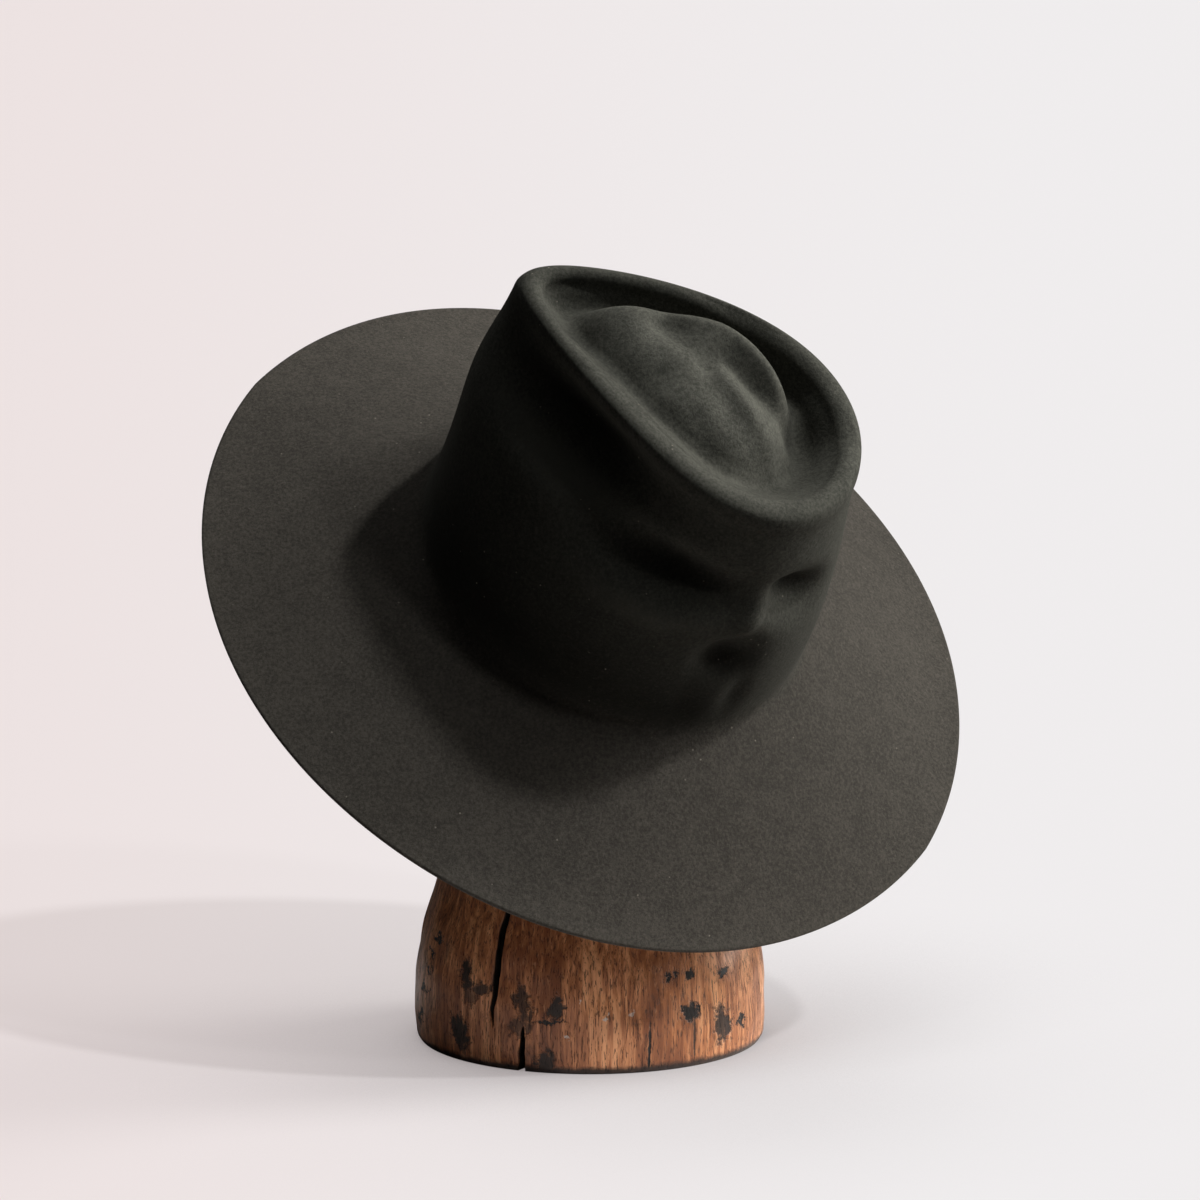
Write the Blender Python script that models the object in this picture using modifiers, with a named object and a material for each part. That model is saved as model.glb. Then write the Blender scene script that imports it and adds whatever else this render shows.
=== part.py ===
"""A felt fedora with a teardrop crown, tipped forward on a carved wooden hat block.

Metres, +Z up. The origin is the middle of the block's flat base. The hat has its own frame
until it is set down: +X to the wide end of its crown, +Z up its crown, and z = 0 at the brim.
"""

from collections import namedtuple
from math import cos, exp, hypot, pi, radians, sin

import bmesh
import bpy
from mathutils import Matrix, Vector
from mathutils.bvhtree import BVHTree

# Felt
FELT = 0.0022

# Crown where it meets the brim, outside of the felt
HEAD_LENGTH = 0.204
HEAD_WIDTH = 0.183
BREAK_RADIUS = 0.007

# Brim
BRIM_WIDTH = 0.104
BRIM_SIDE_NARROWER = 0.008
BRIM_DROP = 0.042

# Rim of the crown's top, along the crest of its rolled edge
CROWN_HEIGHT = 0.138
RIM_LENGTH = 0.174
RIM_WIDTH = 0.097
RIM_SHIFT_BACK = 0.0135
RIM_SHIFT_SIDE = 0.0070
RIM_END_DIP = 0.0045
RIM_TAPER = 0.39
ROLL_RADIUS = 0.0065

# Pinch below the rim, on both sides
PINCH_DEPTH = 0.018
PINCH_TURN = 108.0
PINCH_SPREAD = 40.0

# Top of the crown inside the rim. The gutter is nearly lost at one turn, and shallower at the
# crown's narrow end.
GUTTER_DEPTH = 0.0205
GUTTER_SHALLOW = 0.92
GUTTER_SHALLOW_TURN = -102.0
GUTTER_SHALLOW_SPREAD = 62.0
GUTTER_NARROW_END = 0.35
DOME_RISE = 0.011
DOME_FRONT_DIP = 0.012
DOME_SIDE_LEAN = 0.006
DOME_SHIFT_BACK = 0.006
DOME_SHIFT_SIDE = 0.006

# Facets
COLUMNS = 64

# Wooden block
BLOCK_LENGTH = 0.1745
BLOCK_DEPTH = 0.150
BLOCK_HEIGHT = 0.3496
POST_LENGTH = 0.122
POST_DEPTH = 0.110
BLOCK_COLUMNS = 48

# How the hat sits on the block
HAT_YAW = -13.8
HAT_LEAN = 40.8
HAT_ROLL = 24.5
HAT_RIGHT = 0.012
HAT_BACK = 0.013
SEAT_GAP = 0.0003

# Brim, from the fillet out to the edge: shares of its width and of its drop
BrimRow = namedtuple("BrimRow", "reach fall")
BRIM_ROWS = (
    BrimRow(1.00, 1.00),
    BrimRow(0.95, 0.965),
    BrimRow(0.84, 0.875),
    BrimRow(0.70, 0.745),
    BrimRow(0.55, 0.595),
    BrimRow(0.40, 0.440),
    BrimRow(0.26, 0.290),
    BrimRow(0.13, 0.148),
    BrimRow(0.05, 0.058),
)

# Fillet between the brim and the wall, in degrees from upright
FILLET_STEPS = (70.0, 40.0, 15.0)

# Waves of the brim: height of the edge's rise and fall, how many to a lap, and where one peaks
BrimWave = namedtuple("BrimWave", "height laps peak")
BRIM_WAVES = (
    BrimWave(0.0007, 1, -47.0),
    BrimWave(0.0004, 2, 19.0),
    BrimWave(0.0018, 3, 34.0),
)

# Wall, from the fillet up to the roll. rise is a share of the height, ease of the way in from the
# oval at the brim to the rim, and tuck of the pinch.
WallRow = namedtuple("WallRow", "rise ease tuck")
WALL_ROWS = (
    WallRow(0.05, 0.000, 0.00),
    WallRow(0.12, 0.020, 0.00),
    WallRow(0.21, 0.060, 0.00),
    WallRow(0.31, 0.130, 0.00),
    WallRow(0.41, 0.220, 0.02),
    WallRow(0.51, 0.330, 0.07),
    WallRow(0.60, 0.450, 0.17),
    WallRow(0.68, 0.570, 0.38),
    WallRow(0.76, 0.690, 0.75),
    WallRow(0.83, 0.800, 0.98),
    WallRow(0.89, 0.890, 0.84),
    WallRow(0.95, 0.970, 0.39),
)

# Roll over the rim, in degrees from level outwards to level inwards
ROLL_STEPS = (0.0, 45.0, 90.0, 135.0, 180.0)

# Inside the rim. inward is a share of the way to the middle, sink of the gutter's depth below the
# rim, and swell of the dome's rise from the gutter's floor.
TopRow = namedtuple("TopRow", "inward sink swell")
TOP_ROWS = (
    TopRow(0.06, 0.45, 0.00),
    TopRow(0.12, 0.90, 0.00),
    TopRow(0.18, 1.00, 0.10),
    TopRow(0.25, 1.00, 0.38),
    TopRow(0.32, 1.00, 0.64),
    TopRow(0.41, 1.00, 0.84),
    TopRow(0.52, 1.00, 0.94),
    TopRow(0.64, 1.00, 0.98),
    TopRow(0.76, 1.00, 1.00),
    TopRow(0.88, 1.00, 1.00),
)

# Dents in the wall. turn is the angle from the wide end, rise a share of the height, along and
# up the dent's half sizes, slant its turn from level, and depth how far it goes in. A fold that
# stands out has a depth below nothing.
WallDent = namedtuple("WallDent", "turn rise along up slant depth")
WALL_DENTS = (
    WallDent(-61.0, 0.665, 0.033, 0.0095, -3.0, 0.0130),
    WallDent(-15.0, 0.590, 0.020, 0.0090, -16.0, 0.0135),
    WallDent(-37.0, 0.375, 0.013, 0.0100, 5.0, 0.0120),
    WallDent(-112.0, 0.670, 0.058, 0.0140, 8.0, -0.0050),
    WallDent(-66.0, 0.545, 0.030, 0.0110, 1.0, -0.0045),
    WallDent(-172.0, 0.600, 0.060, 0.0380, 0.0, -0.0050),
    WallDent(150.0, 0.550, 0.028, 0.0120, -15.0, 0.0050),
    WallDent(70.0, 0.480, 0.022, 0.0100, 10.0, 0.0050),
    WallDent(110.0, 0.640, 0.040, 0.0110, 6.0, -0.0035),
)

# Dents in the dome. x and y are shares of the rim's half length and half width.
TopDent = namedtuple("TopDent", "x y along across slant depth")
TOP_DENTS = (
    TopDent(-0.24, 0.24, 0.011, 0.0085, 0.0, 0.0055),
    TopDent(0.36, 0.26, 0.026, 0.0065, 0.0, 0.0055),
    TopDent(0.68, 0.42, 0.014, 0.0100, 30.0, 0.0060),
    TopDent(0.36, -0.04, 0.028, 0.0070, -14.0, -0.0024),
    TopDent(0.20, 0.84, 0.026, 0.0080, -4.0, 0.0040),
    TopDent(-0.58, -0.28, 0.012, 0.0080, 0.0, 0.0030),
)

# Block, from the floor up. rise is a share of its height, flare of the way from the post's size
# out to the base's, and close of the post's own size left where the top rounds over.
BlockRow = namedtuple("BlockRow", "rise flare close")
BLOCK_ROWS = (
    BlockRow(0.000, 0.930, 1.00),
    BlockRow(0.006, 0.980, 1.00),
    BlockRow(0.018, 1.000, 1.00),
    BlockRow(0.073, 1.000, 1.00),
    BlockRow(0.117, 0.950, 1.00),
    BlockRow(0.165, 0.830, 1.00),
    BlockRow(0.223, 0.600, 1.00),
    BlockRow(0.282, 0.370, 1.00),
    BlockRow(0.370, 0.170, 1.00),
    BlockRow(0.480, 0.050, 1.00),
    BlockRow(0.640, 0.000, 1.00),
    BlockRow(0.780, 0.000, 0.97),
    BlockRow(0.870, 0.000, 0.88),
    BlockRow(0.930, 0.000, 0.74),
    BlockRow(0.970, 0.000, 0.54),
    BlockRow(0.992, 0.000, 0.28),
)

# Drying cracks up the block's front. side is a share of its half length, foot and head are heights.
Crack = namedtuple("Crack", "side_foot side_head foot head width depth")
CRACKS = (
    Crack(-0.545, -0.480, 0.012, 0.092, 0.0038, 0.011),
    Crack(-0.390, -0.365, -0.012, 0.018, 0.0042, 0.009),
)


def clear_scene():
    """Removes every object that the file opened with."""
    for obj in list(bpy.data.objects):
        bpy.data.objects.remove(obj)


def material(name, colour, roughness):
    """A plain Principled BSDF."""
    made = bpy.data.materials.new(name)
    made.use_nodes = True
    shader = made.node_tree.nodes["Principled BSDF"]
    shader.inputs["Base Color"].default_value = (*colour, 1.0)
    shader.inputs["Roughness"].default_value = roughness
    return made


def loft(name, rings, tip=None, floor=False):
    """A mesh through closed rings of equal length, run to a tip or shut with a floor if asked."""
    mesh = bpy.data.meshes.new(name)
    shape = bmesh.new()
    verts = [[shape.verts.new(point) for point in ring] for ring in rings]
    count = len(rings[0])
    for lower, upper in zip(verts, verts[1:]):
        for i in range(count):
            j = (i + 1) % count
            shape.faces.new((lower[i], lower[j], upper[j], upper[i]))
    if tip is not None:
        peak = shape.verts.new(tip)
        for i in range(count):
            shape.faces.new((verts[-1][i], verts[-1][(i + 1) % count], peak))
    if floor:
        shape.faces.new(list(reversed(verts[0])))
    shape.to_mesh(mesh)
    shape.free()
    for face in mesh.polygons:
        face.use_smooth = True
    return mesh


def add_object(name, mesh, finish, collection):
    """Puts a mesh in the collection as a named object."""
    obj = bpy.data.objects.new(name, mesh)
    mesh.materials.append(finish)
    collection.objects.link(obj)
    return obj


def wrapped(turn):
    """The same angle between -180 and 180 degrees."""
    return (turn + 180.0) % 360.0 - 180.0


def pinch_share(turn):
    """How strong the pinch is at this angle, from 0 to 1."""
    away = abs(abs(wrapped(turn)) - PINCH_TURN)
    return exp(-((away / PINCH_SPREAD) ** 2))


def wall_dent_depth(turn, height):
    """How far the dents move the wall in at this angle and height."""
    moved = 0.0
    reach = (HEAD_LENGTH + HEAD_WIDTH) / 4
    for dent in WALL_DENTS:
        side = radians(wrapped(turn - dent.turn)) * reach
        lift = height - dent.rise * CROWN_HEIGHT
        lean = radians(dent.slant)
        along = side * cos(lean) + lift * sin(lean)
        up = lift * cos(lean) - side * sin(lean)
        moved += dent.depth * exp(-((along / dent.along) ** 2) - (up / dent.up) ** 2)
    return moved


def top_dent_depth(x, y):
    """How far the dents move the dome down at this place in the hat's frame."""
    moved = 0.0
    for dent in TOP_DENTS:
        side = x + RIM_SHIFT_BACK - dent.x * RIM_LENGTH / 2
        across = y - RIM_SHIFT_SIDE - dent.y * RIM_WIDTH / 2
        lean = radians(dent.slant)
        u = side * cos(lean) + across * sin(lean)
        v = across * cos(lean) - side * sin(lean)
        moved += dent.depth * exp(-((u / dent.along) ** 2) - (v / dent.across) ** 2)
    return moved


def oval_point(turn, grow):
    """A point of the oval at the brim, grown outwards by a length."""
    angle = radians(turn)
    return (HEAD_LENGTH / 2 + grow) * cos(angle), (HEAD_WIDTH / 2 + grow) * sin(angle)


def rim_point(turn, grow=0.0, inward=0.0):
    """A point of the rim's teardrop, grown by a length, or part of the way in to its middle."""
    angle = radians(turn)
    x = (RIM_LENGTH / 2 + grow) * cos(angle) * (1 - inward)
    y = (RIM_WIDTH / 2 + grow) * sin(angle) * (1 + RIM_TAPER * cos(angle)) * (1 - inward)
    x -= RIM_SHIFT_BACK + DOME_SHIFT_BACK * inward
    return x, y + RIM_SHIFT_SIDE + DOME_SHIFT_SIDE * inward


def rim_height(turn):
    """Height of the rim's crest, lower at the two ends."""
    return CROWN_HEIGHT - RIM_END_DIP * cos(2 * radians(turn))


def narrow_end(turn):
    """How near the crown's narrow end this angle is, from 0 to 1."""
    return max(0.0, -cos(radians(turn)))


def gutter_lost(turn):
    """Share of the gutter's depth that is lost at this angle."""
    away = wrapped(turn - GUTTER_SHALLOW_TURN) / GUTTER_SHALLOW_SPREAD
    left = 1 - GUTTER_SHALLOW * exp(-(away**2))
    return 1 - left * (1 - GUTTER_NARROW_END * narrow_end(turn))


def roll_drop(turn):
    """How far the roll's inner side drops, less where the gutter is shallow."""
    share = 0.6 * (1 - 0.4 * narrow_end(turn))
    return min(ROLL_RADIUS, GUTTER_DEPTH * (1 - gutter_lost(turn)) * share)


def top_height(turn, row):
    """Height of the gutter or the dome at this angle, on one row inside the rim."""
    keep = 1 - row.inward
    depth = GUTTER_DEPTH * (1 - gutter_lost(turn) * keep)
    ahead = max(0.0, cos(radians(turn))) * keep
    rise = depth + DOME_RISE - DOME_FRONT_DIP * ahead**1.5
    rise += DOME_SIDE_LEAN * sin(radians(turn)) * keep
    rim = rim_height(turn) * keep + CROWN_HEIGHT * row.inward
    start = roll_drop(turn)
    drop = start + (depth - start) * row.sink ** (1 + 1.2 * narrow_end(turn))
    return rim - drop + rise * row.swell ** (1 + narrow_end(turn))


def brim_wave(turn):
    """How far the brim's edge is waved up at this angle."""
    return sum(wave.height * cos(radians(wave.laps * (turn - wave.peak))) for wave in BRIM_WAVES)


def brim_rings(turns):
    """Rings of the brim, from its cut edge in to the fillet, and of the fillet."""
    outermost = radians(FILLET_STEPS[0])
    start = BREAK_RADIUS * (1 - cos(outermost))
    rings = []
    for row in BRIM_ROWS:
        ring = []
        for turn in turns:
            side = abs(sin(radians(turn)))
            width = BRIM_WIDTH - BRIM_SIDE_NARROWER * side
            x, y = oval_point(turn, start + (width - start) * row.reach)
            ring.append((x, y, brim_wave(turn) * row.reach**2 - BRIM_DROP * row.fall))
        rings.append(ring)
    for step in FILLET_STEPS:
        out = BREAK_RADIUS * (1 - cos(radians(step)))
        up = BREAK_RADIUS * (sin(outermost) - sin(radians(step)))
        rings.append([(*oval_point(turn, out), up) for turn in turns])
    return rings


def wall_rings(turns):
    """Rings of the wall, from the fillet up to the roll."""
    rings = []
    for row in WALL_ROWS:
        ring = []
        for turn in turns:
            height = row.rise * (rim_height(turn) - ROLL_RADIUS)
            x0, y0 = oval_point(turn, 0.0)
            x1, y1 = rim_point(turn, ROLL_RADIUS)
            x = x0 + (x1 - x0) * row.ease
            y = y0 + (y1 - y0) * row.ease
            tuck = row.tuck * PINCH_DEPTH * pinch_share(turn)
            tuck += wall_dent_depth(turn, height)
            inward = 1 - tuck / hypot(x, y)
            ring.append((x * inward, y * inward, height))
        rings.append(ring)
    return rings


def top_rings(turns):
    """Rings of the roll over the rim, the gutter and the dome."""
    rings = []
    for step in ROLL_STEPS:
        out = ROLL_RADIUS * cos(radians(step))
        down = 1 - sin(radians(step))
        ring = []
        for turn in turns:
            drop = roll_drop(turn) if step > 90 else ROLL_RADIUS
            ring.append((*rim_point(turn, out), rim_height(turn) - drop * down))
        rings.append(ring)
    for row in TOP_ROWS:
        ring = []
        for turn in turns:
            x, y = rim_point(turn, -ROLL_RADIUS, row.inward)
            ring.append((x, y, top_height(turn, row) - top_dent_depth(x, y)))
        rings.append(ring)
    return rings


def hat_mesh():
    """The felt's outer surface, from the brim's edge to the middle of the dome."""
    turns = [360.0 * i / COLUMNS for i in range(COLUMNS)]
    rings = brim_rings(turns) + wall_rings(turns) + top_rings(turns)
    x, y = rim_point(0.0, 0.0, 1.0)
    tip = (x, y, CROWN_HEIGHT + DOME_RISE - top_dent_depth(x, y))
    return loft("hat_felt", rings, tip=tip)


def block_mesh(grow=0.0):
    """The wooden block, a flared base under a tall post with a round top."""
    turns = [2 * pi * i / BLOCK_COLUMNS for i in range(BLOCK_COLUMNS)]
    rings = []
    for row in BLOCK_ROWS:
        length = POST_LENGTH * row.close + (BLOCK_LENGTH - POST_LENGTH) * row.flare
        depth = POST_DEPTH * row.close + (BLOCK_DEPTH - POST_DEPTH) * row.flare
        height = row.rise * BLOCK_HEIGHT + (grow if row.close < 1 else 0.0)
        rings.append([
            ((length / 2 + grow) * cos(a), (depth / 2 + grow) * sin(a), height) for a in turns
        ])
    return loft("hat_block", rings, tip=(0.0, 0.0, BLOCK_HEIGHT + grow), floor=True)


def block_front(share, height):
    """A point of the block's front face, by share of its half length and height."""
    rise = max(height, 0.0) / BLOCK_HEIGHT
    below = max((row for row in BLOCK_ROWS if row.rise <= rise), key=lambda row: row.rise)
    above = min((row for row in BLOCK_ROWS if row.rise > rise), key=lambda row: row.rise)
    part = (rise - below.rise) / (above.rise - below.rise)
    flare = below.flare + (above.flare - below.flare) * part
    length = POST_LENGTH + (BLOCK_LENGTH - POST_LENGTH) * flare
    depth = POST_DEPTH + (BLOCK_DEPTH - POST_DEPTH) * flare
    return Vector((share * length / 2, -depth / 2 * (1 - share**2) ** 0.5, height))


def crack_cutter(number, crack, collection):
    """A thin lens along the face, that opens one crack."""
    foot = block_front(crack.side_foot, crack.foot)
    head = block_front(crack.side_head, crack.head)
    mesh = bpy.data.meshes.new(f"crack_cutter_{number}")
    shape = bmesh.new()
    bmesh.ops.create_uvsphere(shape, u_segments=12, v_segments=10, radius=1.0)
    shape.to_mesh(mesh)
    shape.free()
    cutter = bpy.data.objects.new(mesh.name, mesh)
    up = (head - foot).normalized()
    out = Vector((foot.x, foot.y, 0.0)).normalized()
    side = up.cross(out).normalized()
    out = side.cross(up)
    axes = Matrix((side, out, up)).transposed().to_4x4()
    size = Matrix.Diagonal((crack.width / 2, crack.depth, (head - foot).length / 2, 1.0))
    cutter.matrix_world = Matrix.Translation((foot + head) / 2) @ axes @ size
    cutter.hide_render = True
    cutter.display_type = "WIRE"
    collection.objects.link(cutter)
    return cutter


def tree_of(mesh, matrix):
    """A search tree over a mesh placed by a matrix, and its placed points."""
    points = [matrix @ vert.co for vert in mesh.vertices]
    faces = [tuple(face.vertices) for face in mesh.polygons]
    return BVHTree.FromPolygons(points, faces), points


def drop_until_seated(hat, turned):
    """How far below its start the hat comes to rest on the block, which is grown by the gap."""
    felt, felt_points = tree_of(hat, turned)
    wood = block_mesh(SEAT_GAP)
    block, block_points = tree_of(wood, Matrix.Identity(4))
    gaps = []
    for point in block_points:
        hit = felt.ray_cast(point, Vector((0, 0, 1)))[0]
        if hit:
            gaps.append(hit.z - point.z)
    for point in felt_points:
        hit = block.ray_cast(point, Vector((0, 0, -1)))[0]
        if hit:
            gaps.append(point.z - hit.z)
    bpy.data.meshes.remove(wood)
    return min(gaps)


def hat_turn():
    """The hat's turn on the block: about its own axis, forward, and to the right."""
    yaw = Matrix.Rotation(radians(HAT_YAW), 4, "Z")
    lean = Matrix.Rotation(radians(HAT_LEAN), 4, "X")
    roll = Matrix.Rotation(radians(HAT_ROLL), 4, "Y")
    return roll @ lean @ yaw


def build_block(collection, cutters):
    """The wooden block, with its cracks cut."""
    wood = material("old_oak", (0.30, 0.14, 0.07), 0.45)
    block = add_object("hat_block", block_mesh(), wood, collection)
    for number, crack in enumerate(CRACKS, 1):
        cut = block.modifiers.new(f"crack_{number}", "BOOLEAN")
        cut.operation = "DIFFERENCE"
        cut.solver = "EXACT"
        cut.object = crack_cutter(number, crack, cutters)
    return block


def build_hat(collection):
    """The felt hat, one shell, set down on the block."""
    felt = material("green_black_felt", (0.030, 0.031, 0.026), 0.9)
    hat = add_object("hat_felt", hat_mesh(), felt, collection)
    shell = hat.modifiers.new("felt", "SOLIDIFY")
    shell.thickness = FELT
    shell.offset = -1.0
    start = Matrix.Translation((HAT_RIGHT, HAT_BACK, BLOCK_HEIGHT + HEAD_LENGTH))
    graph = bpy.context.evaluated_depsgraph_get()
    evaluated = hat.evaluated_get(graph)
    drop = drop_until_seated(evaluated.to_mesh(), start @ hat_turn())
    evaluated.to_mesh_clear()
    hat.matrix_world = Matrix.Translation((0, 0, -drop)) @ start @ hat_turn()
    return hat


def main():
    """Builds the block, and the hat on it."""
    clear_scene()
    collection = bpy.data.collections.new("fedora_on_hat_block")
    bpy.context.scene.collection.children.link(collection)
    cutters = bpy.data.collections.new("cutters")
    bpy.context.scene.collection.children.link(cutters)
    build_block(collection, cutters)
    build_hat(collection)


main()
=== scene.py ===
"""Dresses a felt fedora and the wooden block that it stands on, in a plain pale studio.

Metres, +Z up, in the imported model's frame. The hat is worked out in a frame of its own, with +X to
the wide end of its crown and +Z up its crown, and is then set down on the block.
"""

import logging
import math
from collections.abc import Mapping, Sequence
from dataclasses import dataclass
from enum import Enum
from typing import Any

import bpy
import numpy as np
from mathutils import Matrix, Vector


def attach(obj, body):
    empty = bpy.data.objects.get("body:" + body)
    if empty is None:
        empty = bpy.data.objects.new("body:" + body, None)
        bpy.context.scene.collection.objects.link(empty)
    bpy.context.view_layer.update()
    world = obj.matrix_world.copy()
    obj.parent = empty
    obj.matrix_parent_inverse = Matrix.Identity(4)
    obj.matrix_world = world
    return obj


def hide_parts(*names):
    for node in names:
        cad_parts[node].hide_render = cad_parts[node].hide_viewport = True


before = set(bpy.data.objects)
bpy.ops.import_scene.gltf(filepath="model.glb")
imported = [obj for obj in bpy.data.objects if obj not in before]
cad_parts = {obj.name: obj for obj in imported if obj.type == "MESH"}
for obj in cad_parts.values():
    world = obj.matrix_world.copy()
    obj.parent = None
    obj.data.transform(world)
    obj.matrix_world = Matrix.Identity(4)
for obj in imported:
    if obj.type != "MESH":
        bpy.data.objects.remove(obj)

LOG = logging.getLogger("fedora")
Array = np.ndarray
Colour = tuple[float, float, float]
FULL_TURN = 360.0
CREST = 90.0
SEED = 20


class Finish(Enum):
    """Names of the record's material slots."""

    FELT = "felt"
    WOOD = "block_wood"


# Shader sums


@dataclass(frozen=True)
class Wire:
    """A number, colour or vector in a shader, with arithmetic that adds Math nodes."""

    shader: "Shader"
    socket: bpy.types.NodeSocket

    def __add__(self, other: "Wire | float") -> "Wire":
        """Sum."""
        return self.shader.math("ADD", self, other)

    def __sub__(self, other: "Wire | float") -> "Wire":
        """Difference."""
        return self.shader.math("SUBTRACT", self, other)

    def __mul__(self, other: "Wire | float") -> "Wire":
        """Product."""
        return self.shader.math("MULTIPLY", self, other)

    def __truediv__(self, other: "Wire | float") -> "Wire":
        """Quotient."""
        return self.shader.math("DIVIDE", self, other)

    def __radd__(self, other: float) -> "Wire":
        """Sum with a number first."""
        return self.shader.math("ADD", other, self)

    def __rsub__(self, other: float) -> "Wire":
        """A number less this."""
        return self.shader.math("SUBTRACT", other, self)

    def __rmul__(self, other: float) -> "Wire":
        """Product with a number first."""
        return self.shader.math("MULTIPLY", other, self)


class Shader:
    """The nodes of one material or world, built up by calls that return wires."""

    def __init__(self, owner: bpy.types.Material | bpy.types.World) -> None:
        """Turns the owner's nodes on.

        Args:
            owner: The material or the world.
        """
        owner.use_nodes = True
        self.tree = owner.node_tree

    def put(self, target: bpy.types.NodeSocket, value: Any) -> None:
        """Links a wire to a socket, or sets the socket's own value.

        Args:
            target: The socket.
            value: A wire, a number, or a tuple for a colour or vector.
        """
        if isinstance(value, Wire):
            self.tree.links.new(value.socket, target)
        elif target.type == "RGBA":
            target.default_value = (*value, 1.0)
        else:
            target.default_value = value

    def node(
        self,
        kind: str,
        settings: Mapping[str, Any] | None = None,
        values: Mapping[str | int, Any] | None = None,
        out: str | int = 0,
    ) -> Wire:
        """Adds a node: its settings first, then its sockets' values or links.

        Args:
            kind: The node's type name.
            settings: The node's own properties.
            values: Socket names or numbers, with what goes into each.
            out: The output that the wire takes.

        Returns:
            The wire from that output.
        """
        made = self.tree.nodes.new(kind)
        for key, value in (settings or {}).items():
            setattr(made, key, value)
        for key, value in (values or {}).items():
            self.put(made.inputs[key], value)
        return Wire(self, made.outputs[out])

    def dress(self, values: Mapping[str, Any]) -> None:
        """Sets or links inputs of the material's Principled BSDF.

        Args:
            values: Input names, with what goes into each.
        """
        for key, value in values.items():
            self.put(self.tree.nodes["Principled BSDF"].inputs[key], value)

    def end(self, closure: Wire, output: str) -> None:
        """Puts a closure in place of the one that the owner came with.

        Args:
            closure: What the surface is.
            output: The output node's name.
        """
        target = self.tree.nodes[output].inputs["Surface"]
        self.tree.nodes.remove(target.links[0].from_node)
        self.put(target, closure)

    def share(self, name: str) -> Wire:
        """A number that the mesh holds for each point, by its name."""
        return self.node("ShaderNodeAttribute", {"attribute_name": name}, out="Fac")

    def axes(self) -> tuple[Wire, ...]:
        """The object's x, y and z, in metres."""
        where = {0: self.place()}
        return tuple(self.node("ShaderNodeSeparateXYZ", values=where, out=i) for i in range(3))

    def math(self, operation: str, *terms: "Wire | float") -> Wire:
        """One Math node on its terms.

        Args:
            operation: The node's operation.
            terms: Wires and numbers.

        Returns:
            The result.
        """
        return self.node("ShaderNodeMath", {"operation": operation}, dict(enumerate(terms)))

    def place(self, scale: Sequence[float] = (1, 1, 1), move: Sequence[float] = (0, 0, 0)) -> Wire:
        """Object coordinates, scaled after a move.

        Args:
            scale: Repeats to the metre along each axis.
            move: Added to the scaled coordinates.

        Returns:
            The vector.
        """
        where = self.node("ShaderNodeTexCoord", out="Object")
        return self.node(
            "ShaderNodeMapping", values={"Vector": where, "Scale": scale, "Location": move}
        )

    def noise(
        self, where: Wire, scale: float = 1.0, detail: float = 2.0, rough: float = 0.5,
        distort: float = 0.0,
    ) -> Wire:
        """Soft noise from 0 to 1 about 0.5.

        Args:
            where: The vector.
            scale: Cells to the unit.
            detail: Octaves.
            rough: Strength of the finer octaves.
            distort: How far it warps itself.

        Returns:
            The noise.
        """
        values = {"Vector": where, "Scale": scale, "Detail": detail, "Roughness": rough}
        return self.node("ShaderNodeTexNoise", values={**values, "Distortion": distort})

    def fade(self, value: Wire, low: float, high: float) -> Wire:
        """Smooth step from 0 at low to 1 at high; it falls where high is the lower.

        Args:
            value: What is stepped.
            low: Where the step is 0.
            high: Where the step is 1.

        Returns:
            The step, from 0 to 1.
        """
        settings = {"interpolation_type": "SMOOTHSTEP"}
        flip = high < low
        ends = {"From Min": min(low, high), "From Max": max(low, high)}
        ends |= {"To Min": 1.0 if flip else 0.0, "To Max": 0.0 if flip else 1.0}
        return self.node("ShaderNodeMapRange", settings, {"Value": value, **ends})

    def blend(self, amount: Wire | float, first: Any, second: Any, how: str = "MIX") -> Wire:
        """Mixes two colours.

        Args:
            amount: Share of the second.
            first: Colour or wire.
            second: Colour or wire.
            how: The Mix node's blend type.

        Returns:
            The colour.
        """
        settings = {"data_type": "RGBA", "blend_type": how}
        return self.node("ShaderNodeMix", settings, {0: amount, 6: first, 7: second}, out=2)

    def bump(self, height: Wire, depth: float, under: Wire | None = None) -> Wire:
        """A Bump node.

        Args:
            height: Height from 0 to 1.
            depth: Metres from 0 to 1 of the height.
            under: A normal that it adds to.

        Returns:
            The normal.
        """
        values: dict[str | int, Any] = {"Height": height, "Distance": depth, "Strength": 1.0}
        if under is not None:
            values["Normal"] = under
        return self.node("ShaderNodeBump", values=values)


# Shapes on grids


def wrapped(turn: Array) -> Array:
    """The same angles between -180 and 180 degrees."""
    return (turn + FULL_TURN / 2) % FULL_TURN - FULL_TURN / 2


def smooth_through(rings: Array, steps: Sequence[int]) -> Array:
    """Smooth surface through rings.

    Each column is a cubic Hermite curve through its ring points, with the mean chord between two
    rings as the parameter and the weighted slope between its neighbours as each tangent.

    Args:
        rings: (ring, column, 3).
        steps: How many parts each gap between rings is cut into.

    Returns:
        (row, column, 3), with the first and last rings kept.
    """
    chord = np.linalg.norm(np.diff(rings, axis=0), axis=2).mean(axis=1)
    at = np.concatenate([[0.0], np.cumsum(chord)])
    slope = np.gradient(rings, at, axis=0)
    gap = np.concatenate([np.repeat(np.arange(len(steps)), steps), [len(steps) - 1]])
    part = np.concatenate([*(np.arange(n) / n for n in steps), [1.0]])[:, None, None]
    span = chord[gap][:, None, None]
    start, end = rings[gap], rings[gap + 1]
    out, into = slope[gap] * span, slope[gap + 1] * span
    square, cube = part**2, part**3
    return (
        start * (2 * cube - 3 * square + 1)
        + out * (cube - 2 * square + part)
        + end * (3 * square - 2 * cube)
        + into * (cube - square)
    )


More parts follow.
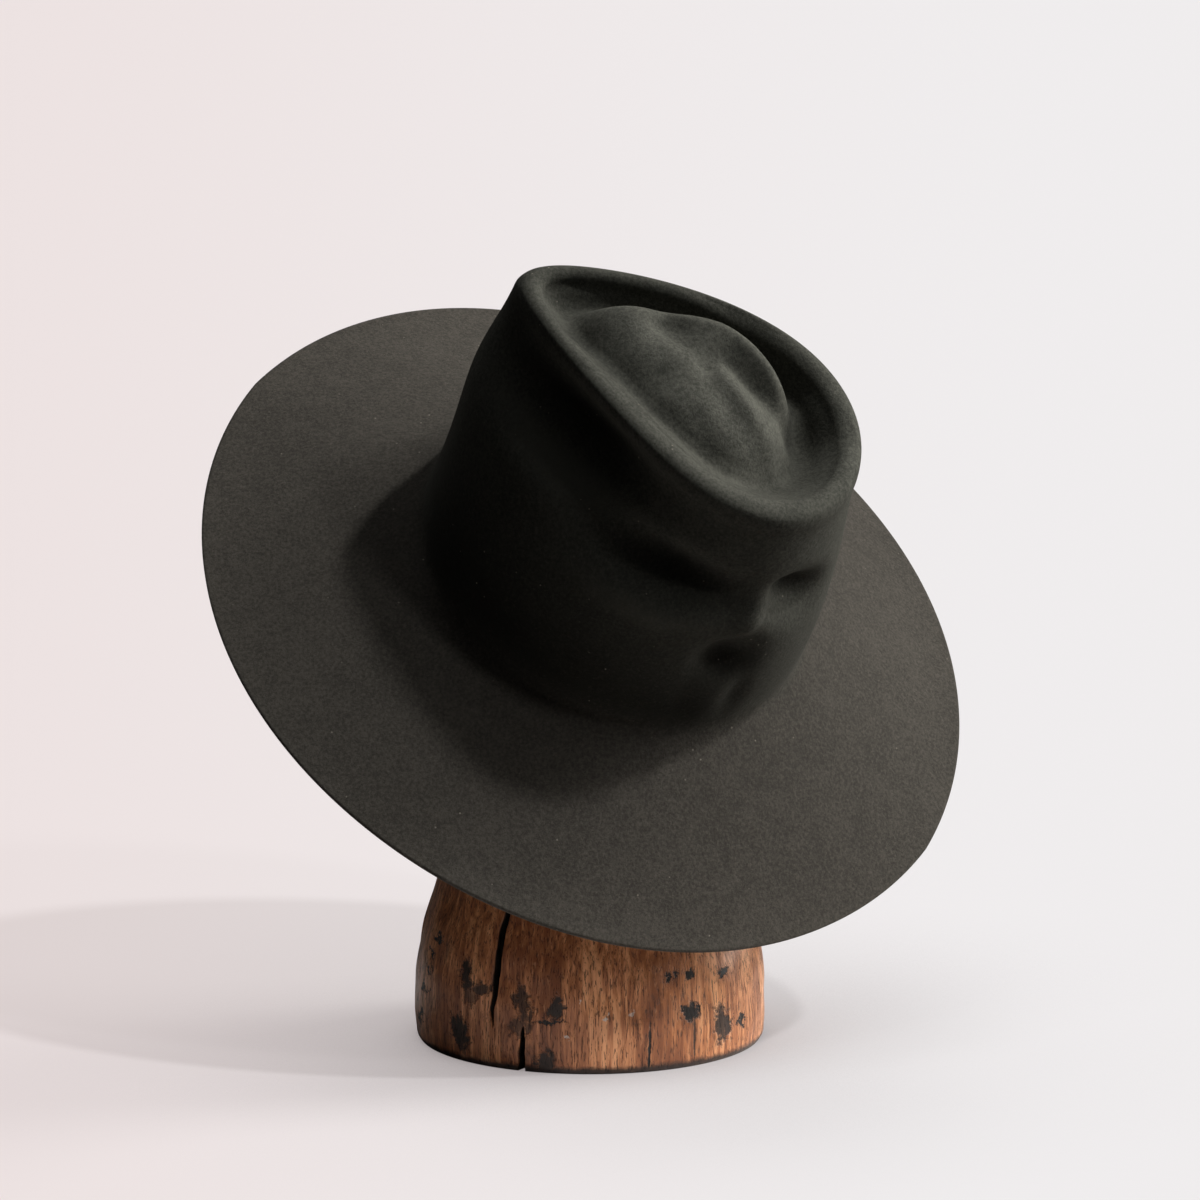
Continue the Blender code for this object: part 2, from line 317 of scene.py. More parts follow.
def waves(u: Array, v: Array, count: int, low: float, high: float, seed: int) -> Array:
    """Smooth seeded noise: a sum of sines across u and v with random pitch, way and phase.

    Args:
        u: First place, any length unit.
        v: Second place, in the same unit.
        count: How many sines.
        low: Lowest cycles to the unit.
        high: Highest cycles to the unit.
        seed: Seed.

    Returns:
        Values with a spread of about 1.
    """
    dice = np.random.default_rng(seed)
    pitch, way, phase = dice.uniform((low, 0, 0), (high, math.tau, math.tau), (count, 3)).T
    inside = u[..., None] * np.cos(way) + v[..., None] * np.sin(way)
    return np.sin(inside * pitch * math.tau + phase).sum(axis=-1) / math.sqrt(count / 2)


def closed_mesh(
    name: str, rings: Array, first: Array | None, last: Array | None
) -> bpy.types.Mesh:
    """A mesh on a grid whose columns close into loops, shut by a point at either end if given.

    Args:
        name: The mesh's name.
        rings: (row, column, 3), ordered so that the faces point outwards.
        first: Point that shuts the first row.
        last: Point that shuts the last row.

    Returns:
        The mesh.
    """
    rows, columns = rings.shape[:2]
    index = np.arange(rows * columns).reshape(rows, columns)
    beside = np.roll(index, -1, axis=1)
    quads = np.stack([index[:-1], beside[:-1], beside[1:], index[1:]], axis=-1).reshape(-1, 4)
    points = rings.reshape(-1, 3)
    faces = quads.tolist()
    for tip, row, turned in ((first, 0, True), (last, -1, False)):
        if tip is None:
            continue
        peak = np.full(columns, len(points))
        points = np.vstack([points, tip])
        ends = (beside[row], index[row]) if turned else (index[row], beside[row])
        faces += np.stack([*ends, peak], axis=-1).tolist()
    mesh = bpy.data.meshes.new(name)
    mesh.from_pydata(points, [], faces)
    mesh.polygons.foreach_set("use_smooth", np.ones(len(mesh.polygons), bool))
    mesh.update()
    return mesh


def spread(mesh: bpy.types.Mesh, name: str, values: Array) -> None:
    """Stores a number for each point, for the finish to read.

    Args:
        mesh: The mesh.
        name: The attribute's name.
        values: One number a point.
    """
    attribute = mesh.attributes.new(name, "FLOAT", "POINT")
    attribute.data.foreach_set("value", values.astype(np.float32))


def add_piece(
    mesh: bpy.types.Mesh, finish: bpy.types.Material, node: str
) -> bpy.types.Object:
    """Puts a mesh in the scene as a piece that rides on the root and replaces a node.

    Args:
        mesh: The mesh, in the row's frame.
        finish: Its material.
        node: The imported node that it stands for.

    Returns:
        The object.
    """
    mesh.materials.append(finish)
    piece = bpy.data.objects.new(mesh.name, mesh)
    bpy.context.scene.collection.objects.link(piece)
    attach(piece, "root")
    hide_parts(node)
    LOG.info("%s: %d faces", piece.name, len(mesh.polygons))
    return piece


# Felt hat


@dataclass(frozen=True)
class FeltFinish:
    """Green-black fur felt: a short nap, soft mottling, worn crests with a painted highlight,
    painted shade in the folds and at the foot, some lint.
    """

    brim_dark: Colour = (0.046, 0.0415, 0.0350)
    brim_light: Colour = (0.090, 0.0805, 0.0680)
    crown_dark: Colour = (0.037, 0.0372, 0.0306)
    crown_light: Colour = (0.078, 0.0778, 0.0640)
    # worn nap with a painted highlight on the rim's crest and the dome; the light one is also
    # painted on the crests of the folds
    wear_highlight_dark: Colour = (0.064, 0.0650, 0.0540)
    wear_highlight_light: Colour = (0.135, 0.1340, 0.1120)
    # painted shade on the crown's foot
    deep: Colour = (0.018, 0.0178, 0.0148)
    pale: Colour = (0.190, 0.170, 0.135)
    # painted shade in the folds
    painted_crease_shade: Colour = (0.007, 0.0066, 0.0050)
    lint: Colour = (0.30, 0.27, 0.22)
    sheen: Colour = (0.80, 0.78, 0.68)
    mottle_height: float = 0.00045
    nap_height: float = 0.00040
    lint_cells: float = 260.0
    lint_edge: tuple[float, float] = (0.15, 0.05)
    lint_chance: tuple[float, float] = (0.945, 0.970)

    def speck(self, shader: Shader, foot: Wire) -> Wire:
        """Mask of the lint: the middles of the few cells whose own number is high.

        Args:
            shader: The shader.
            foot: How near the crown's foot a point is; more lint lies there.

        Returns:
            The mask.
        """
        cells = {"Vector": shader.place(), "Scale": self.lint_cells, "Randomness": 1.0}
        near = shader.node("ShaderNodeTexVoronoi", values=cells, out="Distance")
        lot = shader.node("ShaderNodeTexVoronoi", values=cells, out="Color")
        chance = shader.node("ShaderNodeSeparateColor", values={0: lot})
        return shader.fade(near, *self.lint_edge) * shader.fade(
            chance + foot * 0.03, *self.lint_chance
        )

    def material(self) -> bpy.types.Material:
        """The felt's material.

        Four noises, from broad to hair-fine, are summed and stepped into the share of a light
        colour over a dark one, which the crown's share and the share of worn nap with a painted
        highlight choose. The foot's share paints shade on the crown's foot, and the painted
        shading's share paints shade in the folds where it is over 0 and a highlight on crests where
        it is under 0, both more where the broad noise is high. The two finest noises leave pale
        hairs. The bump is the mottling's noise with the two finest on top.

        Returns:
            The material.
        """
        felt = bpy.data.materials.new("fur_felt")
        shader = Shader(felt)
        broad = shader.noise(shader.place(), 11.0, 3.0, 0.6)
        cloud = shader.noise(shader.place(move=(3, 1, 2)), 95.0, 4.0, 0.65)
        fleck = shader.noise(shader.place(move=(5, 7, 1)), 620.0, 3.0, 0.7)
        hair = shader.noise(shader.place(move=(9, 4, 6)), 1500.0, 3.0, 0.8, 1.5)
        # the foot's share paints shade on the crown's foot and adds lint there
        crown, foot = shader.share("crown"), shader.share("foot")
        patchy = shader.fade(broad * 0.5 + cloud * 0.5, 0.36, 0.60)
        # share of worn nap with a painted highlight on the rim's crest and the dome
        wear_and_highlight = shader.share("wear_and_highlight") * (0.62 + 0.38 * patchy)
        # painted shading: over 0 painted shade in the folds, under 0 a painted highlight on crests
        painted_shading = shader.share("painted_shading") * (0.70 + 0.60 * broad)
        dark = shader.blend(crown, self.brim_dark, self.crown_dark)
        dark = shader.blend(wear_and_highlight, dark, self.wear_highlight_dark)
        light = shader.blend(crown, self.brim_light, self.crown_light)
        light = shader.blend(wear_and_highlight, light, self.wear_highlight_light)
        tone = shader.fade(broad * 0.12 + cloud * 0.14 + fleck * 0.44 + hair * 0.30, 0.40, 0.60)
        colour = shader.blend(tone, dark, light)
        # painted shade on the crown's foot
        colour = shader.blend(foot * (0.30 + 0.35 * broad), colour, self.deep)
        # painted shade in the folds, then painted highlights on crests where the share is under 0
        colour = shader.blend(painted_shading, colour, self.painted_crease_shade)
        colour = shader.blend(painted_shading * -1.0, colour, light)
        colour = shader.blend(painted_shading * -0.6, colour, self.wear_highlight_light)
        pale = shader.fade(fleck * 0.5 + hair * 0.5, 0.57, 0.72)
        colour = shader.blend(pale * 0.32, colour, self.pale)
        colour = shader.blend(self.speck(shader, foot) * 0.75, colour, self.lint)
        normal = shader.bump(cloud, self.mottle_height)
        normal = shader.bump(fleck * 0.55 + hair * 0.45, self.nap_height, normal)
        shader.dress({
            "Base Color": colour, "Roughness": 0.84 + 0.12 * cloud, "Normal": normal,
            "Specular IOR Level": 0.12, "Sheen Weight": 0.06, "Sheen Roughness": 0.55,
            "Sheen Tint": self.sheen,
        })
        return felt


@dataclass(frozen=True)
class Dent:
    """A soft dent: an oval Gaussian hollow, or a bulge where its depth is negative.

    On the wall, across is the angle from the wide end and up the height as a share of the crown's.
    On the dome, they are shares of the rim's half length and half width from its middle.
    """

    across: float
    up: float
    half_across: float
    half_up: float
    slant: float
    depth: float

    def hollow(self, side: Array, lift: Array) -> Array:
        """How deep it is at offsets from its middle: its depth times a Gaussian of both axes.

        Args:
            side: Offsets across, in metres.
            lift: Offsets up, in metres.

        Returns:
            The depth in metres.
        """
        lean = math.radians(self.slant)
        along = side * math.cos(lean) + lift * math.sin(lean)
        over = lift * math.cos(lean) - side * math.sin(lean)
        return self.depth * np.exp(-((along / self.half_across) ** 2) - (over / self.half_up) ** 2)


@dataclass(frozen=True)
class FeltHat:
    """The hat: brim, fillet, pinched wall, rolled teardrop rim, gutter and dome in one felt."""

    felt: float = 0.0022
    head_length: float = 0.204
    head_width: float = 0.183
    break_radius: float = 0.007
    brim_width: float = 0.104
    side_narrower: float = 0.008
    brim_drop: float = 0.042
    crown_height: float = 0.138
    rim_length: float = 0.174
    rim_width: float = 0.097
    shift_back: float = 0.0135
    shift_side: float = 0.0070
    end_dip: float = 0.0045
    taper: float = 0.39
    roll: float = 0.0065
    pinch_depth: float = 0.018
    pinch_turn: float = 108.0
    pinch_spread: float = 40.0
    gutter: float = 0.0205
    gutter_shallow: float = 0.92
    shallow_turn: float = -102.0
    shallow_spread: float = 62.0
    gutter_narrow_end: float = 0.35
    # share of the gutter that the roll's inner quarter falls, and its loss at the narrow end
    roll_share: float = 0.6
    roll_narrow: float = 0.4
    # share of the roll's drop lost at the wide end, and how much slower the gutter sinks there
    roll_wide: float = 0.45
    sink_wide: float = 0.25
    dome_rise: float = 0.011
    dome_front_dip: float = 0.012
    dome_dip_power: float = 1.5
    dome_side_lean: float = 0.006
    dome_back: float = 0.006
    dome_side: float = 0.006
    columns: int = 256
    yaw: float = -13.8
    lean: float = 40.8
    sideways: float = 24.5
    middle: tuple[float, float, float] = (0.012, 0.013, 0.2345)

    # rows, from the wall's foot or the rim's crest, in which a tone starts or has its peak, and
    # rows that it takes; the foot's is painted shade and lint, the crest's and the dome's are worn
    # nap with a painted highlight
    crown_tone: tuple[int, int] = (-6, 12)
    foot_shade_and_lint: tuple[int, int] = (14, 20)
    crest_tone: tuple[int, int] = (0, 6)
    dome_tone: tuple[int, int] = (12, 20)
    fold_rows: int = 12
    # shares of worn nap with a painted highlight on the rim's crest and on the dome
    crest_wear_highlight: float = 0.30
    dome_wear_highlight: float = 0.9
    # angle, spread and extra share of the painted highlight at the rim's wide end
    end_painted_highlight: tuple[float, float, float] = (24.0, 26.0, 2.8)

    # share of the brim's width, share of its drop
    brim_rows: tuple[tuple[float, float], ...] = (
        (1.00, 1.00), (0.95, 0.965), (0.84, 0.875), (0.70, 0.745), (0.55, 0.595),
        (0.40, 0.440), (0.26, 0.290), (0.13, 0.148), (0.05, 0.058),
    )
    # height, waves to a lap, angle of a peak
    brim_waves: tuple[tuple[float, int, float], ...] = (
        (0.0007, 1, -47.0), (0.0004, 2, 19.0), (0.0018, 3, 34.0),
    )
    fillet_steps: tuple[float, ...] = (70.0, 40.0, 15.0)
    # share of the height, share of the way in to the rim, share of the pinch
    wall_rows: tuple[tuple[float, float, float], ...] = (
        (0.05, 0.000, 0.00), (0.12, 0.020, 0.00), (0.21, 0.060, 0.00), (0.31, 0.130, 0.00),
        (0.41, 0.220, 0.02), (0.51, 0.330, 0.07), (0.60, 0.450, 0.17), (0.68, 0.570, 0.38),
        (0.76, 0.690, 0.75), (0.83, 0.800, 0.98), (0.89, 0.890, 0.86), (0.95, 0.970, 0.47),
    )
    # angle over the roll from level outwards, share of the pinch
    roll_steps: tuple[tuple[float, float], ...] = (
        (0.0, 0.15), (45.0, 0.05), (90.0, 0.00), (135.0, 0.00), (180.0, 0.00),
    )
    # share of the way to the middle, share of the gutter's depth, share of the dome's rise
    top_rows: tuple[tuple[float, float, float], ...] = (
        (0.06, 0.36, 0.00), (0.12, 0.70, 0.02), (0.18, 0.92, 0.12), (0.25, 1.00, 0.37),
        (0.32, 1.00, 0.64), (0.41, 1.00, 0.84), (0.52, 1.00, 0.94), (0.64, 1.00, 0.98),
        (0.76, 1.00, 1.00), (0.88, 1.00, 1.00), (1.00, 1.00, 1.00),
    )
    wall_dents: tuple[Dent, ...] = (
        Dent(-62.0, 0.660, 0.041, 0.0120, -3.0, 0.0125),
        Dent(-15.0, 0.580, 0.021, 0.0110, -16.0, 0.0150),
        Dent(-38.0, 0.375, 0.015, 0.0115, 5.0, 0.0100),
        Dent(-112.0, 0.670, 0.058, 0.0140, 8.0, -0.0050),
        Dent(-66.0, 0.545, 0.030, 0.0110, 1.0, -0.0045),
        Dent(-33.0, 0.560, 0.014, 0.0070, 48.0, -0.0030),
        Dent(-30.0, 0.190, 0.013, 0.0065, 82.0, 0.0022),
        Dent(-47.0, 0.180, 0.014, 0.0070, 98.0, 0.0018),
        Dent(-172.0, 0.600, 0.060, 0.0380, 0.0, -0.0050),
        Dent(150.0, 0.550, 0.028, 0.0120, -15.0, 0.0050),
        Dent(70.0, 0.480, 0.022, 0.0100, 10.0, 0.0050),
        Dent(110.0, 0.640, 0.040, 0.0110, 6.0, -0.0035),
    )
    top_dents: tuple[Dent, ...] = (
        Dent(-0.24, 0.24, 0.012, 0.0085, 0.0, 0.0075),
        Dent(0.04, 0.07, 0.005, 0.0055, 0.0, 0.0048),
        Dent(0.36, 0.26, 0.026, 0.0065, 0.0, 0.0055),
        Dent(0.68, 0.42, 0.014, 0.0100, 30.0, 0.0060),
        Dent(0.36, -0.04, 0.028, 0.0062, -14.0, -0.0034),
        Dent(0.26, 0.50, 0.024, 0.0055, -4.0, -0.0030),
        Dent(0.20, 0.84, 0.026, 0.0080, -4.0, 0.0040),
        Dent(-0.58, -0.28, 0.012, 0.0080, 0.0, 0.0030),
        Dent(-0.11, -0.40, 0.013, 0.0090, 20.0, 0.0026),
        Dent(0.20, -0.55, 0.012, 0.0070, -10.0, 0.0022),
    )

    # painted shade and highlight: their depth is the share of painted shade, from 1 for a dark
    # crease to -1 for a painted highlight on a crest
    painted_shading_spots: tuple[Dent, ...] = (
        Dent(-118.0, 0.845, 0.055, 0.0095, 3.0, 1.00),
        Dent(-60.0, 0.655, 0.042, 0.0090, -3.0, 0.75),
        Dent(-34.0, 0.330, 0.015, 0.0090, 0.0, 0.75),
        Dent(-7.0, 0.575, 0.014, 0.0060, -10.0, 0.45),
        Dent(-102.0, 0.140, 0.090, 0.0260, 0.0, 0.90),
        Dent(-42.0, 0.110, 0.032, 0.0150, 0.0, 0.50),
        Dent(-108.0, 0.710, 0.048, 0.0065, 3.0, -0.75),
        Dent(-72.0, 0.515, 0.030, 0.0065, 3.0, -0.35),
    )

    def oval(self, turn: Array, grow: float | Array) -> tuple[Array, Array]:
        """The oval at the brim: half its size times the angle's cosine and sine.

        Args:
            turn: Angles from the wide end.
            grow: Metres that it is grown outwards.

        Returns:
            The points' x and y.
        """
        angle = np.radians(turn)
        return (
            (self.head_length / 2 + grow) * np.cos(angle),
            (self.head_width / 2 + grow) * np.sin(angle),
        )

    def teardrop(self, turn: Array, grow: float, inward: float = 0.0) -> tuple[Array, Array]:
        """The rim's teardrop: an oval whose width is tapered by the angle's cosine.

        Args:
            turn: Angles from the wide end.
            grow: Metres that it is grown outwards.
            inward: Share of the way to the dome's middle.

        Returns:
            The points' x and y.
        """
        angle = np.radians(turn)
        keep = 1 - inward
        x = (self.rim_length / 2 + grow) * np.cos(angle) * keep
        y = (self.rim_width / 2 + grow) * np.sin(angle) * (1 + self.taper * np.cos(angle)) * keep
        x = x - self.shift_back - self.dome_back * inward
        return x, y + self.shift_side + self.dome_side * inward

    def rim_height(self, turn: Array) -> Array:
        """Height of the rim's crest, which dips at both ends by a cosine of twice the angle."""
        return self.crown_height - self.end_dip * np.cos(2 * np.radians(turn))

    def brim(self, turn: Array) -> list[Array]:
        """Rings from the brim's edge in to the fillet, and round the fillet's arc.

        The brim falls by its rows' shares and waves by cosines of the angle, which grow as the
        square of the way out.

        Args:
            turn: The columns' angles.

        Returns:
            The rings.
        """
        outermost = math.radians(self.fillet_steps[0])
        start = self.break_radius * (1 - math.cos(outermost))
        width = self.brim_width - self.side_narrower * np.abs(np.sin(np.radians(turn))) - start
        wave = sum(h * np.cos(np.radians(n * (turn - peak))) for h, n, peak in self.brim_waves)
        rings = []
        for reach, fall in self.brim_rows:
            x, y = self.oval(turn, start + width * reach)
            rings.append(np.stack([x, y, wave * reach**2 - self.brim_drop * fall], axis=-1))
        for step in self.fillet_steps:
            angle = math.radians(step)
            x, y = self.oval(turn, self.break_radius * (1 - math.cos(angle)))
            up = self.break_radius * (math.sin(outermost) - math.sin(angle))
            rings.append(np.stack([x, y, np.full_like(x, up)], axis=-1))
        return rings

    def pinch(self, turn: Array) -> Array:
        """How far the fingers' pinch goes in on either side, a Gaussian of the angle."""
        away = np.abs(np.abs(wrapped(turn)) - self.pinch_turn)
        return self.pinch_depth * np.exp(-((away / self.pinch_spread) ** 2))

    def wall(self, turn: Array) -> list[Array]:
        """Rings of the wall: a blend from the oval to the teardrop, drawn in by the pinch.

        Args:
            turn: The columns' angles.

        Returns:
            The rings.
        """
        pinch = self.pinch(turn)
        foot = np.stack(self.oval(turn, 0.0), axis=-1)
        head = np.stack(self.teardrop(turn, self.roll), axis=-1)
        rings = []
        for rise, ease, tuck in self.wall_rows:
            flat = foot + (head - foot) * ease
            flat = flat * (1 - tuck * pinch / np.linalg.norm(flat, axis=-1))[:, None]
            height = rise * (self.rim_height(turn) - self.roll)
            rings.append(np.concatenate([flat, height[:, None]], axis=-1))
        return rings

    def top(self, turn: Array) -> list[Array]:
        """Rings over the roll, down into the gutter and up the dome.

        The gutter is shallower by a Gaussian of the angle, and at the narrow end by its cosine.
        The roll is two quarter circles, of which the inner falls less where the gutter is shallow.
        Further in, the rings sink to the gutter and swell to the dome by their rows' shares.

        Args:
            turn: The columns' angles.

        Returns:
            The rings.
        """
        rings = []
        rim = self.rim_height(turn)
        angle = np.radians(turn)
        away = wrapped(turn - self.shallow_turn) / self.shallow_spread
        narrow = np.maximum(0.0, -np.cos(angle))
        wide = np.maximum(0.0, np.cos(angle))
        deep = (1 - self.gutter_shallow * np.exp(-(away**2))) * (1 - self.gutter_narrow_end * narrow)
        shallow = 1 - deep
        inside = self.gutter * (1 - shallow) * self.roll_share * (1 - self.roll_narrow * narrow)
        inside = np.minimum(self.roll * (1 - self.roll_wide * wide), inside)
        for step, tuck in self.roll_steps:
            x, y = self.teardrop(turn, self.roll * math.cos(math.radians(step)))
            drawn = 1 - tuck * self.pinch(turn) / np.hypot(x, y)
            drop = inside if step > CREST else self.roll
            up = drop * (math.sin(math.radians(step)) - 1)
            rings.append(np.stack([x * drawn, y * drawn, rim + up], axis=-1))
        for inward, sink, swell in self.top_rows:
            keep = 1 - inward
            x, y = self.teardrop(turn, -self.roll, inward)
            depth = self.gutter * (1 - shallow * keep)
            rise = depth + self.dome_rise
            rise = rise - self.dome_front_dip * (wide * keep) ** self.dome_dip_power
            rise = rise + self.dome_side_lean * np.sin(angle) * keep
            height = rim * keep + self.crown_height * inward
            drop = inside + (depth - inside) * sink ** (1 + self.sink_wide * wide)
            height = height - drop + rise * swell ** (1 + narrow)
            rings.append(np.stack([x, y, height], axis=-1))
        return rings

    def steps(self) -> list[int]:
        """How many rows each stretch between two rings is cut into, from the brim's edge in.

        Returns:
            One number a stretch.
        """
        steps = [4] * (len(self.brim_rows) - 1) + [3] * (len(self.fillet_steps) + 1)
        steps += [5] * (len(self.wall_rows) - 1) + [4] * len(self.roll_steps)
        return steps + [4] * (len(self.top_rows) - 1)

    def starts(self) -> tuple[int, int]:
        """Finds the rows where the wall starts and where the rim's crest is.

        Returns:
            The two rows' numbers.
        """
        foot = len(self.brim_rows) + len(self.fillet_steps) - 1
        crest = foot + len(self.wall_rows) + len(self.roll_steps) // 2 + 1
        return sum(self.steps()[:foot]), sum(self.steps()[:crest])

    def shares(self, rows: int, turn: Array) -> tuple[Array, Array, Array]:
        """How far each point belongs to the crown and to its foot, and its share of worn nap with a
        painted highlight.

        The crown's and the dome's shares are ramps over rows, the foot's and the crest's are
        Gaussians over rows, and the crest's is raised by a Gaussian of the angle, a painted
        highlight at the rim's wide end. The foot's share is painted shade on the crown's foot, with
        lint.

        Args:
            rows: How many rows there are.
            turn: The columns' angles.

        Returns:
            Three shares from 0 to 1, each with a row for each of the grid's.
        """
        row = np.arange(rows)[:, None]
        first_wall, first_top = self.starts()
        (start, over), (peak, reach) = self.crown_tone, self.foot_shade_and_lint
        crown = np.clip((row - first_wall - start) / over, 0, 1)
        foot = np.exp(-(((row - first_wall - peak) / reach) ** 2))
        (peak, reach), (start, over) = self.crest_tone, self.dome_tone
        crest = self.crest_wear_highlight * np.exp(-(((row - first_top - peak) / reach) ** 2))
        end, half, extra = self.end_painted_highlight
        crest = crest * (1 + extra * np.exp(-((wrapped(turn - end) / half) ** 2)))
        dome = self.dome_wear_highlight * np.clip((row - first_top - start) / over, 0, 1)
        return crown, foot, np.maximum(crest, dome)

    def surface(self, turn: Array) -> tuple[Array, Array, Array]:
        """The felt's outer surface in the hat's frame, with its dents pressed in.

        The wall's dents scale a point towards the crown's axis and fade out by a smooth step under
        the rim's crest. The top's dents lower it.

        Args:
            turn: The columns' angles.

        Returns:
            The grid's rows of points, the point at the dome's middle, and the share of painted shade
            in the folds and painted highlight on crests.
        """
        parts = (self.brim(turn), self.wall(turn), self.top(turn))
        rings = np.array([ring for part in parts for ring in part])
        grid = smooth_through(rings, self.steps())
        x, y, z = np.moveaxis(grid, -1, 0)
        first_wall, first_top = self.starts()
        row = np.arange(len(grid))[:, None]
        below_rim = np.clip((first_top - row) / self.fold_rows, 0, 1)
        below_rim = below_rim**2 * (3 - 2 * below_rim)
        on_wall = below_rim * (row >= first_wall)
        over_fillet = below_rim * np.clip((row - first_wall) / self.fold_rows + 1, 0, 1)
        reach = (self.head_length + self.head_width) / 4
        # tone here: the share of painted shade in the folds, under 0 of a painted highlight on
        # crests
        pressed, tone = np.zeros_like(x), np.zeros_like(x)
        for dents, total in ((self.wall_dents, pressed), (self.painted_shading_spots, tone)):
            for dent in dents:
                side = np.radians(wrapped(turn - dent.across))[None, :] * reach
                total += dent.hollow(side, z - dent.up * self.crown_height)
        keep = 1 - on_wall * pressed / np.hypot(x, y)
        sunk = np.zeros_like(x)
        for dent in self.top_dents:
            side = x + self.shift_back - dent.across * self.rim_length / 2
            sunk += dent.hollow(side, y - self.shift_side - dent.up * self.rim_width / 2)
        drop = np.where(row >= first_top, sunk, 0.0)
        grid = np.stack([x * keep, y * keep, z - drop], axis=-1)
        return grid[:-1], grid[-1].mean(axis=0), (over_fillet * tone)[:-1]

    def set_down(self, points: Array) -> Array:
        """Turns points by the yaw, the lean and the sideways roll, then moves them to the block.

        Args:
            points: Points in the hat's frame.

        Returns:
            The points in the row's frame.
        """
        yaw, lean, side = (math.radians(a) for a in (self.yaw, self.lean, self.sideways))
        about_z = np.array([
            [math.cos(yaw), -math.sin(yaw), 0], [math.sin(yaw), math.cos(yaw), 0], [0, 0, 1],
        ])
        about_x = np.array([
            [1, 0, 0], [0, math.cos(lean), -math.sin(lean)], [0, math.sin(lean), math.cos(lean)],
        ])
        about_y = np.array([
            [math.cos(side), 0, math.sin(side)], [0, 1, 0], [-math.sin(side), 0, math.cos(side)],
        ])
        return points @ (about_y @ about_x @ about_z).T + np.array(self.middle)

    def build(self) -> bpy.types.Object:
        """Builds the shell and gives it the felt's thickness.

        Returns:
            The piece.
        """
        turn = np.arange(self.columns) * FULL_TURN / self.columns
        grid, tip, painted_shading = self.surface(turn)
        mesh = closed_mesh("fedora_felt", self.set_down(grid), None, self.set_down(tip[None]))
        # the shares: crown, foot with painted shade and lint, worn nap with a painted highlight, and
        # painted shading
        shares = (*self.shares(len(grid), turn), painted_shading)
        for name, share in zip(("crown", "foot", "wear_and_highlight", "painted_shading"), shares, strict=True):
            values = np.broadcast_to(share, grid.shape[:2]).ravel()
            spread(mesh, name, np.append(values, values[-1]))
        piece = add_piece(mesh, FeltFinish().material(), "hat_felt")
        shell = piece.modifiers.new("felt", "SOLIDIFY")
        shell.thickness = self.felt
        shell.offset = -1.0
        return piece


# Wooden block


@dataclass(frozen=True)
class Mark:
    """A stain, hole or scratch on the block's front, as an oval in x and z, in metres."""

    x: float
    z: float
    half_x: float
    half_z: float
    slant: float = 0.0
    strength: float = 1.0


